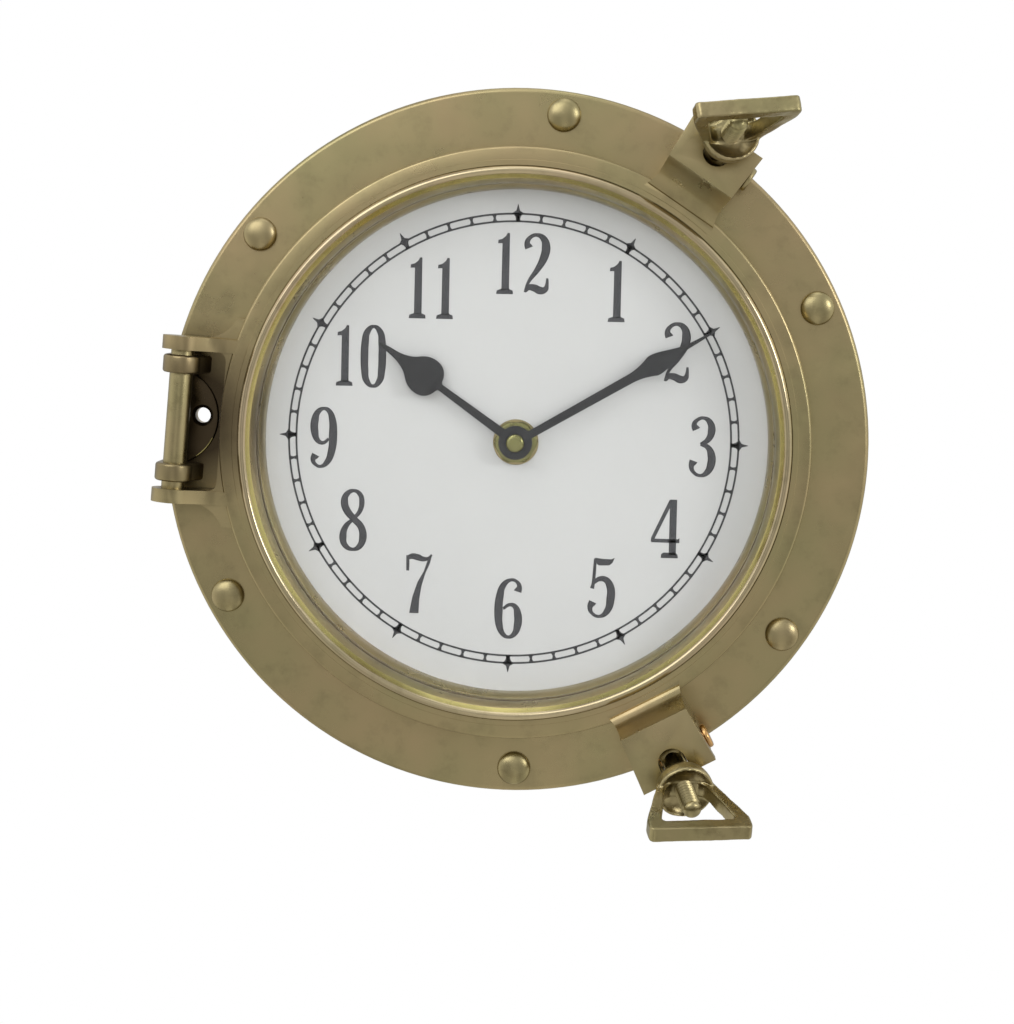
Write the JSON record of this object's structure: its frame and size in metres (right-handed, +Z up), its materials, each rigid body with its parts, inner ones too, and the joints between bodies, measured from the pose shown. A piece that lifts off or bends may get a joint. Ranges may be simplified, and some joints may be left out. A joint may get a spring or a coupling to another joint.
{
  "type": "porthole wall clock",
  "caption": "Round cast brass porthole wall clock with a hinged glass door held by swing bolts and loop nuts, over a numbered dial and battery movement.",
  "frame": {"origin": "on the dial's axis in the wall plane, where the clock's back rests on the wall; the clock is held by the wall hook in its hanger's keyhole above that point", "axes": "+Z is up the wall, +Y goes into the wall, so the clock faces -Y, and +X is to the right as the clock is read"},
  "size_m": [0.2177, 0.0882, 0.2199],
  "materials": {
    "antique_brass": "satin, antiqued and brushed along the ring",
    "polished_brass": "polished",
    "copper_brass": "polished, reddish",
    "black_rubber": "matt",
    "clear_glass": "clear",
    "dial_white": "satin white print ground",
    "board_brown": "raw hardboard",
    "zinc_steel": "zinc plated",
    "black_plastic": "fine matt grain",
    "white_plastic": "natural",
    "black_paint": "matt black",
    "copper_wire": "lacquered winding",
    "board_green": "satin",
    "battery_can": "printed sleeve, plain"
  },
  "bodies": {
    "fixed_clock": {"base_flange": "antique_brass", "rivet_1": "polished_brass", "rivet_2": "polished_brass", "rivet_3": "polished_brass", "rivet_4": "polished_brass", "rivet_5": "polished_brass", "rivet_6": "polished_brass", "hinge_pin": "polished_brass", "dog_pin_upper": "copper_brass", "dog_pin_lower": "copper_brass", "dial_face": "dial_white", "dial_board": "board_brown", "dial_washer": "polished_brass", "dial_nut": "polished_brass", "board_screw_1": "zinc_steel", "board_screw_2": "zinc_steel", "board_screw_3": "zinc_steel", "board_screw_4": "zinc_steel", "hanger_plate": "zinc_steel", "hanger_screw_left": "zinc_steel", "hanger_screw_right": "zinc_steel", "movement_case": "black_plastic", "movement_cover": "black_plastic", "movement_gasket": "black_rubber", "stator": "zinc_steel", "motor_coil": "copper_wire", "circuit_board": "board_green", "quartz_crystal": "zinc_steel", "battery": "battery_can", "contact_negative": "zinc_steel", "contact_positive": "zinc_steel"},
    "door": {"door_ring": "antique_brass", "bezel_ring": "polished_brass", "glass_seal": "black_rubber", "door_glass": "clear_glass"},
    "upper_bolt": {"dog_bolt_upper": "antique_brass"},
    "upper_nut": {"dog_nut_upper": "antique_brass"},
    "lower_bolt": {"dog_bolt_lower": "antique_brass"},
    "lower_nut": {"dog_nut_lower": "antique_brass"},
    "minute_group": {"minute_arbor": "zinc_steel", "minute_hand": "black_paint", "hand_cap_nut": "polished_brass"},
    "setting_group": {"motion_wheel": "white_plastic", "setting_knob": "black_plastic"},
    "hour_group": {"hour_wheel": "black_plastic", "hour_hand": "black_paint"},
    "rotor_group": {"rotor": "zinc_steel"},
    "fifth_group": {"fifth_wheel": "white_plastic"},
    "fourth_group": {"fourth_wheel": "white_plastic"},
    "third_group": {"third_wheel": "white_plastic"},
    "centre_group": {"centre_wheel": "white_plastic"}
  },
  "joints": [
    {"name": "door_hinge", "type": "hinge", "parent": "fixed_clock", "child": "door", "pos_m": [-0.10161, -0.0435, 0.00889], "axis": [-0.0872, 0, -0.9962], "range_deg": [0, 165]},
    {"name": "dog_swing_upper", "type": "hinge", "parent": "fixed_clock", "child": "upper_bolt", "pos_m": [0.05977, -0.043, 0.08632], "axis": [-0.8221, 0, 0.5693], "range_deg": [-19.5, 70.5]},
    {"name": "dog_swing_lower", "type": "hinge", "parent": "fixed_clock", "child": "lower_bolt", "pos_m": [0.04767, -0.043, -0.09356], "axis": [0.891, 0, 0.454], "range_deg": [-25, 65]},
    {"name": "nut_turn_upper", "type": "hinge", "parent": "upper_bolt", "child": "upper_nut", "pos_m": [0.05977, -0.043, 0.08632], "axis": [0.19, -0.9426, 0.2744], "continuous": true},
    {"name": "nut_turn_lower", "type": "hinge", "parent": "lower_bolt", "child": "lower_nut", "pos_m": [0.04767, -0.043, -0.09356], "axis": [0.1919, -0.9063, -0.3766], "continuous": true},
    {"name": "minute_turn", "type": "hinge", "parent": "fixed_clock", "child": "minute_group", "pos_m": [0, -0.0313, 0], "axis": [0, 1, 0], "continuous": true},
    {"name": "hour_turn", "type": "hinge", "parent": "fixed_clock", "child": "hour_group", "pos_m": [0, -0.0298, 0], "axis": [0, 1, 0], "continuous": true},
    {"name": "setting_turn", "type": "hinge", "parent": "fixed_clock", "child": "setting_group", "pos_m": [-0.0096, -0.01, 0], "axis": [0, 1, 0], "continuous": true},
    {"name": "fourth_turn", "type": "hinge", "parent": "fixed_clock", "child": "fourth_group", "pos_m": [0.01158, -0.01, 0.00846], "axis": [0, 1, 0], "continuous": true},
    {"name": "third_turn", "type": "hinge", "parent": "fixed_clock", "child": "third_group", "pos_m": [0.00308, -0.01, 0.00846], "axis": [0, 1, 0], "continuous": true},
    {"name": "centre_turn", "type": "hinge", "parent": "fixed_clock", "child": "centre_group", "pos_m": [0, -0.0128, 0], "axis": [0, 1, 0], "continuous": true},
    {"name": "fifth_turn", "type": "hinge", "parent": "fixed_clock", "child": "fifth_group", "pos_m": [0.01443, -0.01, 0.01629], "axis": [0, 1, 0], "continuous": true},
    {"name": "rotor_turn", "type": "hinge", "parent": "fixed_clock", "child": "rotor_group", "pos_m": [0.00855, -0.01, 0.01968], "axis": [0, 1, 0], "continuous": true}
  ],
  "couplings": [
    {"joint": "hour_turn", "follows": "minute_turn", "ratio": 0.083333},
    {"joint": "setting_turn", "follows": "minute_turn", "ratio": -0.33333},
    {"joint": "third_turn", "follows": "fourth_turn", "ratio": -0.13333},
    {"joint": "centre_turn", "follows": "fourth_turn", "ratio": 0.016667},
    {"joint": "fifth_turn", "follows": "fourth_turn", "ratio": -4},
    {"joint": "rotor_turn", "follows": "fourth_turn", "ratio": 30}
  ]
}
